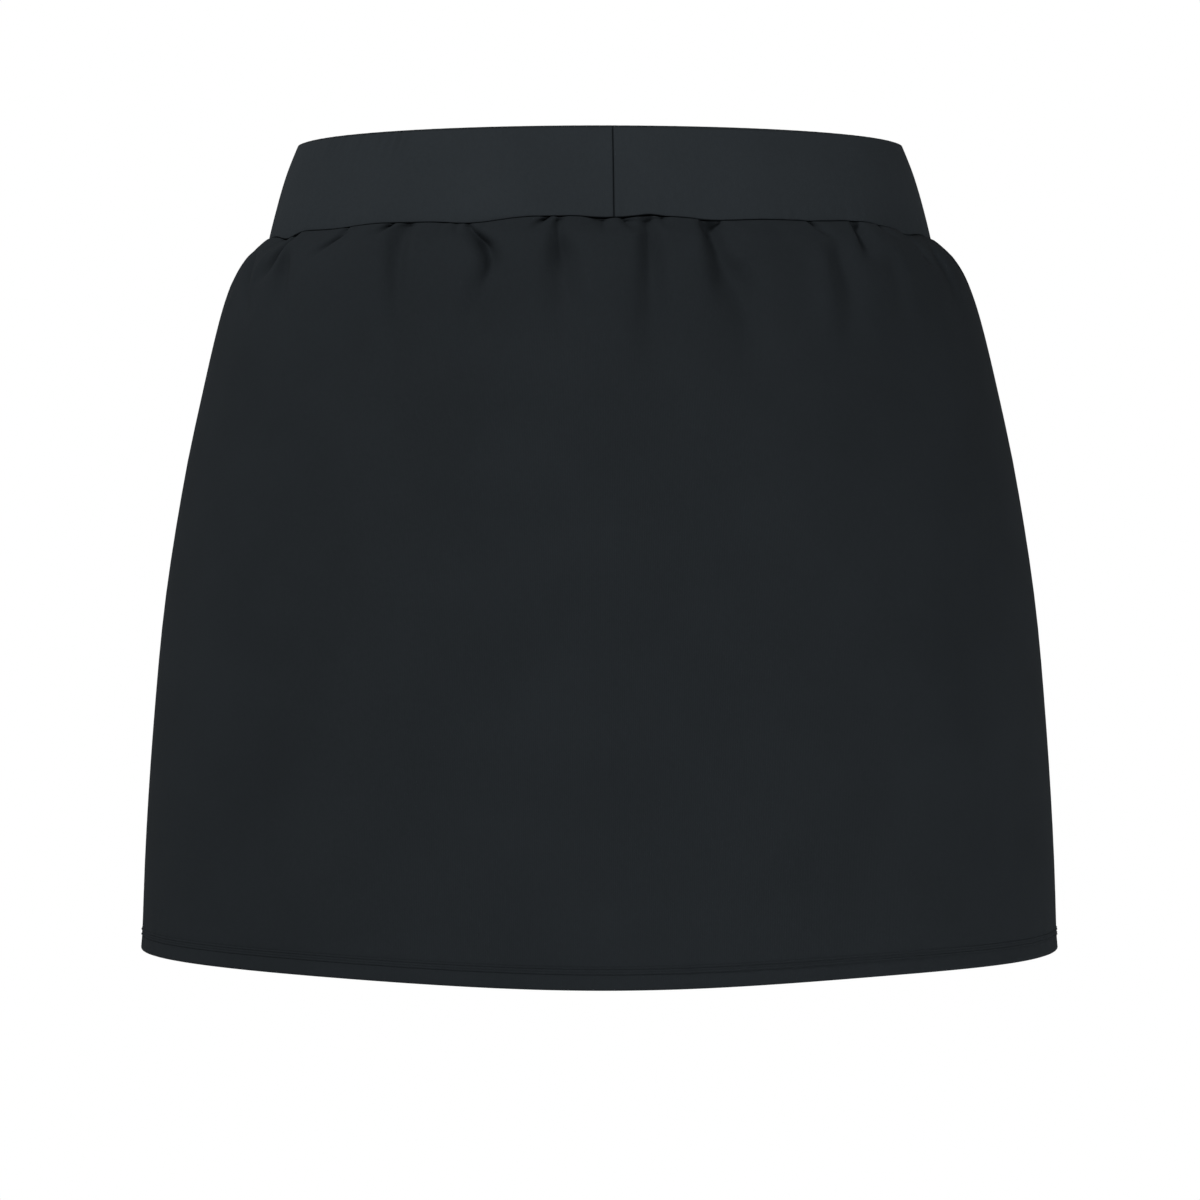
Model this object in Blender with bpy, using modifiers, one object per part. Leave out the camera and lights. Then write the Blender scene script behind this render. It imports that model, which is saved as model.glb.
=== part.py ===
"""Tennis skort, worn shape with no wearer: an elastic waistband, a gathered A-line skirt in two panels
and fitted inner shorts in two halves. Metres, +Z up. The wearer faces +Y, so the back is at -Y and the
wearer's right is +X. The origin is the middle of the waist, half way up the waistband.

A turn is an angle round the body: 0 at the wearer's right side seam, 90 degrees at centre back,
180 at the left side seam and 270 at centre front.
"""

import math
from collections import namedtuple

import bpy
import numpy as np

# Thicknesses and gaps
SEAM_GAP = 0.0005
CROTCH_SEAM_GAP = 0.0005
BAND_THICKNESS = 0.0030
SKIRT_THICKNESS = 0.0012
SHORTS_THICKNESS = 0.0010
DOUBLED = 2.0  # a turned-up hem is two layers

# Heights of the edges, at the side seams
BAND_TOP = 0.0200
WAIST_SEAM = -0.0217
SKIRT_HEM = -0.3393
SKIRT_LENGTH = WAIST_SEAM - SKIRT_HEM
SKIRT_HEM_DEPTH = 0.0092
# The waist seam rises this far above its side height at centre back and centre front
WAIST_SEAM_RISE = {"back": 0.0020, "front": 0.0010}
# The hem sinks evenly from the side seams to the middle, and dips a little more near centre back and front
SKIRT_HEM_SINK = {"back": 0.0023, "front": 0.0015}
SKIRT_HEM_DIP = {"back": 0.0037, "front": 0.0020}

BACK_SEAM_X = 0.0062  # the waistband's one seam lies just right of centre back
BAND_FOLD_RADIUS = 0.0012

# Inner shorts
SHORTS_DROP = 0.0010  # how far their top edge lies below the waistband
CROTCH = -0.2260
CROTCH_Y = -0.0060
LEG_HEM = -0.3050
LEG_HEM_DEPTH = 0.0180
LEG_CENTRE_X = 0.0890
LEG_CENTRE_Y = -0.0040
LEG_HALF_WIDTH = 0.0830
LEG_HALF_DEPTH = 0.0890
CROTCH_CURVE_HEIGHT = 0.0900
# The cloth leaves the crotch seam sideways by this many degrees, at the waist and at the crotch
SEAM_FAN_TOP = 24.0
SEAM_FAN_CROTCH = 40.0

# Mesh density
SKIRT_COLUMNS = 48
SKIRT_ROW_DROPS = (0.0, 0.005, 0.012, 0.022, 0.036, 0.056, 0.085, 0.125, 0.175, 0.235)
BAND_COLUMNS = 60
SHORTS_COLUMNS = 32
SHORTS_ROWS = 8

Section = namedtuple("Section", "drop side back front")
Gather = namedtuple("Gather", "turn lean depth width length")

# Half-widths and depths of the waistband's outer face, by drop below its top
BAND_SECTIONS = (
    Section(drop=0.0000, side=0.1356, back=0.0985, front=0.0925),
    Section(drop=0.0140, side=0.1406, back=0.1032, front=0.0965),
    Section(drop=0.0417, side=0.1487, back=0.1120, front=0.1040),
)
# The skirt's outer face, by drop below the waist seam: it puffs out of the seam, then flares to the hem
SKIRT_SECTIONS = (
    Section(drop=0.0000, side=0.1487, back=0.1120, front=0.1040),
    Section(drop=0.0030, side=0.1506, back=0.1143, front=0.1063),
    Section(drop=0.0080, side=0.1566, back=0.1192, front=0.1109),
    Section(drop=0.0180, side=0.1630, back=0.1240, front=0.1155),
    Section(drop=0.0360, side=0.1696, back=0.1285, front=0.1195),
    Section(drop=0.0720, side=0.1787, back=0.1345, front=0.1248),
    Section(drop=0.1080, side=0.1861, back=0.1392, front=0.1288),
    Section(drop=0.1620, side=0.1944, back=0.1443, front=0.1335),
    Section(drop=0.2160, side=0.1994, back=0.1476, front=0.1368),
    Section(drop=0.2700, side=0.2029, back=0.1493, front=0.1389),
    Section(drop=0.3190, side=0.2047, back=0.1500, front=0.1400),
)
# The shorts' centre front and centre back seams and side, by drop below the waist seam
SHORTS_SECTIONS = (
    Section(drop=0.0000, side=0.1468, back=0.1102, front=0.1022),
    Section(drop=0.0500, side=0.1550, back=0.1160, front=0.1075),
    Section(drop=0.1100, side=0.1680, back=0.1215, front=0.1060),
    Section(drop=0.2100, side=0.1735, back=0.1140, front=0.0960),
)

# Troughs of the gathers. Turn and lean are in degrees: lean is how far a trough turns by its lower end
BACK_GATHERS = (
    Gather(turn=156.0, lean=1.0, depth=0.0042, width=0.010, length=0.032),
    Gather(turn=134.0, lean=4.0, depth=0.0026, width=0.009, length=0.030),
    Gather(turn=123.0, lean=0.0, depth=0.0026, width=0.011, length=0.060),
    Gather(turn=109.5, lean=1.0, depth=0.0048, width=0.011, length=0.075),
    Gather(turn=96.5, lean=-1.0, depth=0.0032, width=0.011, length=0.070),
    Gather(turn=83.0, lean=-1.5, depth=0.0032, width=0.011, length=0.070),
    Gather(turn=73.5, lean=-5.0, depth=0.0040, width=0.012, length=0.070),
    Gather(turn=53.0, lean=0.0, depth=0.0018, width=0.009, length=0.034),
    Gather(turn=43.5, lean=-2.0, depth=0.0032, width=0.010, length=0.045),
    Gather(turn=24.0, lean=-1.0, depth=0.0024, width=0.010, length=0.040),
)
FRONT_GATHERS = (
    Gather(turn=199.0, lean=-1.0, depth=0.0030, width=0.010, length=0.038),
    Gather(turn=217.0, lean=-3.0, depth=0.0034, width=0.011, length=0.050),
    Gather(turn=229.0, lean=1.0, depth=0.0020, width=0.009, length=0.034),
    Gather(turn=243.0, lean=-1.0, depth=0.0040, width=0.011, length=0.068),
    Gather(turn=257.0, lean=1.5, depth=0.0028, width=0.011, length=0.056),
    Gather(turn=272.0, lean=0.0, depth=0.0036, width=0.012, length=0.072),
    Gather(turn=284.0, lean=2.0, depth=0.0024, width=0.010, length=0.044),
    Gather(turn=299.0, lean=2.0, depth=0.0042, width=0.012, length=0.066),
    Gather(turn=314.0, lean=3.0, depth=0.0026, width=0.010, length=0.040),
    Gather(turn=333.0, lean=2.0, depth=0.0034, width=0.010, length=0.044),
)


def clear_scene():
    for thing in list(bpy.data.objects):
        bpy.data.objects.remove(thing)


def cloth(name, colour, roughness):
    """A matt fabric material."""
    material = bpy.data.materials.new(name)
    material.use_nodes = True
    shader = material.node_tree.nodes["Principled BSDF"]
    shader.inputs["Base Color"].default_value = (*colour, 1.0)
    shader.inputs["Roughness"].default_value = roughness
    shader.inputs["Metallic"].default_value = 0.0
    return material


def smooth_step(share):
    share = min(max(share, 0.0), 1.0)
    return share * share * (3.0 - 2.0 * share)


def section_at(sections, drop):
    """The section at a drop, on a smooth curve through the table's rows."""
    drops = [row.drop for row in sections]
    drop = min(max(drop, drops[0]), drops[-1])
    low = max(0, min(int(np.searchsorted(drops, drop)) - 1, len(drops) - 2))
    span = drops[low + 1] - drops[low]
    share = (drop - drops[low]) / span

    def slope(column, row):
        before, after = max(row - 1, 0), min(row + 1, len(sections) - 1)
        return (column(sections[after]) - column(sections[before])) / (drops[after] - drops[before])

    def through(column):
        start, end = column(sections[low]), column(sections[low + 1])
        rise_in, rise_out = slope(column, low) * span, slope(column, low + 1) * span
        square, cube = share**2, share**3
        return (
            (2 * cube - 3 * square + 1) * start
            + (cube - 2 * square + share) * rise_in
            + (3 * square - 2 * cube) * end
            + (cube - square) * rise_out
        )

    return Section(
        drop,
        through(lambda row: row.side),
        through(lambda row: row.back),
        through(lambda row: row.front),
    )


def oval(section, turn, outward=0.0):
    """The point of a section's oval at a turn, moved outward in its own plane, as x and y."""
    depth = section.back if math.sin(turn) >= 0 else section.front
    x, y = section.side * math.cos(turn), -depth * math.sin(turn)
    out = np.array([math.cos(turn) / section.side, -math.sin(turn) / depth])
    return np.array([x, y]) + outward * out / np.linalg.norm(out)


def edge_height(side_height, rise, turn):
    """An edge's height at a turn: its side height, plus its rise towards centre back or front."""
    half = "back" if math.sin(turn) >= 0 else "front"
    return side_height + rise[half] * math.sin(turn) ** 2


def hem_height(turn):
    """The hem's height: its side height, less a sink with the turn's sine and a dip with its eighth power."""
    half = "back" if math.sin(turn) >= 0 else "front"
    middle = abs(math.sin(turn))
    return SKIRT_HEM - SKIRT_HEM_SINK[half] * middle - SKIRT_HEM_DIP[half] * middle**8


def gather_depth(gathers, turn, section):
    """How far in the gathers' troughs pull the cloth: each is a bell across that fades in and out downwards."""
    depth = 0.0
    radius = (section.side + section.back) / 2
    for gather in gathers:
        share = section.drop / gather.length
        if share < 1.0:
            middle = math.radians(gather.turn + gather.lean * share)
            across = (turn - middle) * radius / (gather.width * (1.0 + share))
            fade = smooth_step(section.drop / 0.006) * (1.0 - smooth_step(share))
            depth += gather.depth * fade * math.exp(-across * across)
    return depth


def skirt_point(gathers, turn, share):
    """The skirt's outer face at a share of the way from the waist seam to the hem."""
    section = section_at(SKIRT_SECTIONS, share * SKIRT_LENGTH)
    top = edge_height(WAIST_SEAM, WAIST_SEAM_RISE, turn) - SEAM_GAP
    hem = hem_height(turn)
    x, y = oval(section, turn, -gather_depth(gathers, turn, section))
    return x, y, top + share * (hem - top)


def grid_faces(rows, columns, closed):
    """Quads of a grid whose rows run down and whose columns run round, facing out."""
    last = columns if closed else columns - 1
    return [
        (
            row * columns + column,
            (row + 1) * columns + column,
            (row + 1) * columns + (column + 1) % columns,
            row * columns + (column + 1) % columns,
        )
        for row in range(rows - 1)
        for column in range(last)
    ]


def add_wall(name, grid, thickness, material, collection, closed=False, hem_rows=0):
    """Cloth from a grid of outer points: an open surface with its thickness inside, doubled over its hem."""
    rows, columns = len(grid), len(grid[0])
    faces = grid_faces(rows, columns, closed)
    mesh = bpy.data.meshes.new(name)
    mesh.from_pydata([tuple(map(float, point)) for row in grid for point in row], [], faces)
    if mesh.polygons[0].normal.dot(mesh.polygons[0].center) < 0:
        mesh.flip_normals()
    mesh.materials.append(material)
    wall = bpy.data.objects.new(name, mesh)
    collection.objects.link(wall)
    solid = wall.modifiers.new("thickness", "SOLIDIFY")
    solid.thickness = thickness
    solid.offset = -1.0
    if hem_rows:
        doubled = wall.vertex_groups.new(name="hem")
        doubled.add(list(range((rows - hem_rows) * columns, rows * columns)), 1.0, "REPLACE")
        solid.thickness = thickness * DOUBLED
        solid.vertex_group = doubled.name
        solid.thickness_vertex_group = 1.0 / DOUBLED
    mesh.shade_smooth()
    mesh.set_sharp_from_angle(angle=math.radians(50))
    return wall


def even_turns(first, last, count):
    return [first + (last - first) * i / (count - 1) for i in range(count)]


def build_band(material, collection):
    """The waistband: one folded strip that runs all round, its two ends meeting at the centre back seam."""
    height = BAND_TOP - WAIST_SEAM
    start = math.acos((BACK_SEAM_X - SEAM_GAP / 2) / BAND_SECTIONS[-1].side)
    end = math.acos((BACK_SEAM_X + SEAM_GAP / 2) / BAND_SECTIONS[-1].side) + 2 * math.pi
    grid = []
    for share in (0.0, 0.35, 0.7, 1.0):
        section = section_at(BAND_SECTIONS, share * height)
        row = []
        for turn in even_turns(start, end, BAND_COLUMNS + 1):
            seam = edge_height(WAIST_SEAM, WAIST_SEAM_RISE, turn)
            row.append((*oval(section, turn), BAND_TOP + share * (seam - BAND_TOP)))
        grid.append(row)
    band = add_wall("waistband", grid, BAND_THICKNESS, material, collection)
    fold = band.modifiers.new("folded_edges", "BEVEL")
    fold.width = BAND_FOLD_RADIUS
    fold.segments = 2
    fold.limit_method = "ANGLE"
    fold.angle_limit = math.radians(50)
    return band


def build_skirt(name, first_turn, gathers, material, collection):
    """One skirt panel, half way round from its first side seam, with its hem turned up inside."""
    gap_turn = 0.6 * SEAM_GAP / SKIRT_SECTIONS[0].back
    turns = even_turns(first_turn + gap_turn, first_turn + math.pi - gap_turn, SKIRT_COLUMNS + 1)
    hem_top = 1.0 - SKIRT_HEM_DEPTH / SKIRT_LENGTH
    shares = [drop / SKIRT_LENGTH for drop in SKIRT_ROW_DROPS]
    shares += [hem_top - 0.003, hem_top, 1.0]
    grid = [[skirt_point(gathers, turn, share) for turn in turns] for share in shares]
    return add_wall(name, grid, SKIRT_THICKNESS, material, collection, hem_rows=2)


def even_steps(points, count):
    """The line through the points again, as evenly spaced points."""
    points = np.array(points)
    along = np.concatenate([[0.0], np.cumsum(np.linalg.norm(np.diff(points, axis=0), axis=1))])
    at = np.linspace(0.0, along[-1], count)
    return np.stack([np.interp(at, along, points[:, axis]) for axis in range(3)], axis=1)


def crotch_seam(end, count):
    """The seam between the halves, in the middle plane, from the crotch up to the waist at one end."""
    height_of_seam = WAIST_SEAM + WAIST_SEAM_RISE[end] - SHORTS_DROP - CROTCH
    points = []
    for height in np.linspace(0.0, 1.0, 120) ** 2 * height_of_seam:
        section = section_at(SHORTS_SECTIONS, height_of_seam - height)
        reach = -section.back if end == "back" else section.front
        climb = min(height / CROTCH_CURVE_HEIGHT, 1.0)
        swing = math.sqrt(1.0 - (1.0 - climb) ** 2)
        points.append((CROTCH_SEAM_GAP / 2, CROTCH_Y + (reach - CROTCH_Y) * swing, CROTCH + height))
    return even_steps(points, count)


def shorts_top_edge():
    """The loop that a half hangs from, from the crotch up the front, round the waist and down the back, and the
    direction in which the cloth leaves it: down the seam and fanned out sideways."""
    quarter = SHORTS_COLUMNS // 4
    section = SHORTS_SECTIONS[0]
    gap_turn = CROTCH_SEAM_GAP / 2 / section.side
    front = crotch_seam("front", quarter + 1)
    back = crotch_seam("back", quarter + 1)[::-1]
    waist = []
    for turn in even_turns(-math.pi / 2 + gap_turn, math.pi / 2 - gap_turn, 2 * quarter + 1):
        height = edge_height(WAIST_SEAM, WAIST_SEAM_RISE, turn) - SHORTS_DROP
        waist.append((*oval(section, turn), height))
    edge = np.concatenate([front[:-1], waist, back[1:-1]])
    leaves = []
    for column, point in enumerate(edge):
        near_crotch = max(0.0, 1.0 - min(column, len(edge) - column) / quarter)
        if near_crotch > 0:
            share = smooth_step(near_crotch)
            down_seam = edge[column - 1] - edge[(column + 1) % len(edge)]
            down_seam *= 1.0 if column <= quarter else -1.0
            heading = down_seam / np.linalg.norm(down_seam) * (1.0 - share) + np.array([0.0, 0.0, -share])
            heading /= np.linalg.norm(heading)
            fan = math.radians(SEAM_FAN_TOP + (SEAM_FAN_CROTCH - SEAM_FAN_TOP) * near_crotch)
            leave = heading * math.cos(fan) + np.array([math.sin(fan), 0.0, 0.0])
        else:
            hips = section_at(SHORTS_SECTIONS, 0.03)
            turn = -math.pi / 2 + math.pi * (column - quarter) / (2 * quarter)
            spread = oval(hips, turn) - oval(section, turn)
            fan = math.tan(math.radians(SEAM_FAN_TOP)) * math.sin(turn) ** 8
            leave = np.array([spread[0] + 0.03 * fan, spread[1], -0.03])
        leaves.append(leave / np.linalg.norm(leave))
    return edge, np.array(leaves)


def build_shorts(name, hand, material, collection):
    """One half of the inner shorts: a tube from the waist and crotch seam down to the leg hem."""
    edge, leaves = shorts_top_edge()
    around = np.arange(SHORTS_COLUMNS) / SHORTS_COLUMNS * 2 * math.pi
    hem = np.stack(
        [
            LEG_CENTRE_X - LEG_HALF_WIDTH * np.cos(around),
            LEG_CENTRE_Y + LEG_HALF_DEPTH * np.sin(around),
            np.full(SHORTS_COLUMNS, LEG_HEM),
        ],
        axis=1,
    )
    length = np.linalg.norm(hem - edge, axis=1)[:, None]
    shares = [0.0, 0.015] + [row / SHORTS_ROWS for row in range(1, SHORTS_ROWS)]
    shares += [1.0 - LEG_HEM_DEPTH / 0.28, 1.0]
    grid = []
    for share in shares:
        square, cube = share**2, share**3
        row = (
            (2 * cube - 3 * square + 1) * edge
            + (cube - 2 * square + share) * leaves * length
            + (3 * square - 2 * cube) * hem
            + (cube - square) * np.array([0.0, 0.0, -1.0]) * length
        )
        grid.append(row * np.array([hand, 1.0, 1.0]))
    return add_wall(name, grid, SHORTS_THICKNESS, material, collection, closed=True, hem_rows=2)


def main():
    clear_scene()
    skort = bpy.data.collections.new("tennis_skort")
    bpy.context.scene.collection.children.link(skort)
    skirt_jersey = cloth("skirt_jersey", (0.018, 0.022, 0.025), 0.75)
    band_jersey = cloth("band_jersey", (0.022, 0.026, 0.030), 0.70)
    shorts_jersey = cloth("shorts_jersey", (0.016, 0.019, 0.022), 0.65)
    build_band(band_jersey, skort)
    build_skirt("skirt_back", 0.0, BACK_GATHERS, skirt_jersey, skort)
    build_skirt("skirt_front", math.pi, FRONT_GATHERS, skirt_jersey, skort)
    build_shorts("shorts_right", 1.0, shorts_jersey, skort)
    build_shorts("shorts_left", -1.0, shorts_jersey, skort)


main()
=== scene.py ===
"""Looks for the tennis skort: fine knit cloth in place of each plain wall, on the same form, with its
gathers, seams, turned-up hems and stitches.

Metres, +Z up. The wearer faces +Y, so the back is at -Y and the wearer's right is +X. A turn is an
angle round the body: 0 at the wearer's right side seam, 90 degrees at centre back, 180 at the left side
seam, 270 at centre front. A drop is a distance down the cloth from the waist seam, or from the top of
the waistband on the waistband itself.
"""

import math
from collections import namedtuple

import bpy
import numpy as np
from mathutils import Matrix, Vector


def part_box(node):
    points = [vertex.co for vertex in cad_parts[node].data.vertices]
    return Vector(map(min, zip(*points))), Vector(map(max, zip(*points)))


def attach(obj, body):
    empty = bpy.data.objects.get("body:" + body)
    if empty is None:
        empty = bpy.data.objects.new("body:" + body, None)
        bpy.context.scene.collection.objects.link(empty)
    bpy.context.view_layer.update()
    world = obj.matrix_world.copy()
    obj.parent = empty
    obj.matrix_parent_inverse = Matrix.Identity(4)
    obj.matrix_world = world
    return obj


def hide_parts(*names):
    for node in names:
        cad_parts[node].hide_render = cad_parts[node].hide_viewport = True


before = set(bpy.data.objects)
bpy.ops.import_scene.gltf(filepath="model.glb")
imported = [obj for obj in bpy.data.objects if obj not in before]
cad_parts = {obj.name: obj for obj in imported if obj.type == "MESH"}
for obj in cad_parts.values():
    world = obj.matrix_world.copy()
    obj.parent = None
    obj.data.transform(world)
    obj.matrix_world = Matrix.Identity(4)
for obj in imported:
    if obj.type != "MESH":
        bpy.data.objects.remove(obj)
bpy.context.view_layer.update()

MM = 0.001

# Heights, taken from the frame
BAND_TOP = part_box("waistband")[1][2] + 0.3 * MM
WAIST_SEAM = -21.7 * MM
SKIRT_HEM = -339.7 * MM
SKIRT_LENGTH = WAIST_SEAM - SKIRT_HEM
WAIST_SEAM_RISE = {"back": 2.0 * MM, "front": 1.0 * MM}
SIDE_DIP = 1.1 * MM
# The hem sinks evenly from the side seams to the middle, and a little more near centre back and front
SKIRT_HEM_SINK = {"back": 2.3 * MM, "front": 1.5 * MM}
SKIRT_HEM_DIP = {"back": 3.7 * MM, "front": 2.0 * MM}
BAND_HEIGHT = BAND_TOP - WAIST_SEAM

# Cloth
SKIRT_CLOTH = 0.7 * MM
SHORTS_CLOTH = 0.6 * MM
BAND_WALL = 3.0 * MM
SEAM_ROLL = 0.4 * MM
# The skirt's hem is folded up on a half circle of this radius, and its sides on the one below
HEM_FOLD = 0.95 * MM
SIDE_FOLD = 0.8 * MM
HEM_TURN_UP = 10.5 * MM
HEM_FLARE = 0.4 * MM
SIDE_ALLOWANCE = 7.0 * MM
# How much narrower the turned-in cloth is at each side, and how far the skirt stays below the band
TURNED_IN_INSET = 0.9 * MM
SEAM_GAP = 0.26 * MM
# How far the seam allowance stands in from the band's inner face, and from the back of a gather
ALLOWANCE_GAP = 0.5 * MM
ALLOWANCE_TUCK = 1.0 * MM
# Where this much room lies behind the skirt, its gathers are nearly as deep as the table says
FULL_ROOM = 7.6 * MM

# Radii that turn a distance round the cloth into an angle, and back
PANEL_RADIUS = 0.122
PANEL_UV_RADIUS = 0.16
BAND_HALF_WIDTH = 0.143
BAND_HALF_DEPTH = 0.105
BAND_UV_RADIUS = 0.125

# Hem stitching: two needle rows, measured up from the hem's edge
NEEDLE_ROWS = (7.0 * MM, 9.1 * MM)
STITCH_PITCH = 2.6 * MM
THREAD = 0.17 * MM

# Waistband
BACK_SEAM_X = 6.2 * MM
BAND_CROWN = 0.7 * MM
BAND_EDGE = 0.45 * MM

# Inner shorts
CROTCH = -226.0 * MM
CROTCH_Y = -6.0 * MM
CROTCH_CURVE_HEIGHT = 90.0 * MM
SHORTS_DROP = 4.4 * MM
LEG_HEM = -305.0 * MM
LEG_CENTRE_X = 89.0 * MM
LEG_CENTRE_Y = -4.0 * MM
LEG_HALF_WIDTH = 83.0 * MM
LEG_HALF_DEPTH = 89.0 * MM
LEG_TURN_UP = 18.0 * MM
LEG_NEEDLE_ROWS = (13.5 * MM, 16.0 * MM)
SEAM_FAN_TOP = 24.0
SEAM_FAN_CROTCH = 40.0

Section = namedtuple("Section", "drop side back front")
Fold = namedtuple(
    "Fold",
    "turn lean reach depth width spread ease start crisp lip",
    defaults=(1.0, 0, 0.0, 0.0),
)
Ripple = namedtuple("Ripple", "turn half_span height")
Sag = namedtuple("Sag", "turn half_span depth")

BAND_SECTIONS = (
    Section(drop=0.0000, side=0.1356, back=0.0985, front=0.0925),
    Section(drop=0.0140, side=0.1406, back=0.1032, front=0.0965),
    Section(drop=0.0417, side=0.1487, back=0.1120, front=0.1040),
)
SKIRT_SECTIONS = (
    Section(drop=0.0000, side=0.1487, back=0.1120, front=0.1040),
    Section(drop=0.0030, side=0.1528, back=0.1146, front=0.1066),
    Section(drop=0.0080, side=0.1582, back=0.1192, front=0.1109),
    Section(drop=0.0180, side=0.1641, back=0.1240, front=0.1155),
    Section(drop=0.0360, side=0.1702, back=0.1285, front=0.1195),
    Section(drop=0.0720, side=0.1787, back=0.1345, front=0.1248),
    Section(drop=0.1080, side=0.1861, back=0.1392, front=0.1288),
    Section(drop=0.1620, side=0.1944, back=0.1443, front=0.1335),
    Section(drop=0.2160, side=0.1994, back=0.1476, front=0.1368),
    Section(drop=0.2700, side=0.2029, back=0.1493, front=0.1389),
    Section(drop=0.3190, side=0.2047, back=0.1500, front=0.1400),
)
SHORTS_SECTIONS = (
    Section(drop=0.0000, side=0.1440, back=0.1068, front=0.0988),
    Section(drop=0.0500, side=0.1545, back=0.1152, front=0.1068),
    Section(drop=0.1100, side=0.1680, back=0.1215, front=0.1060),
    Section(drop=0.2100, side=0.1735, back=0.1140, front=0.0960),
)

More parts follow.
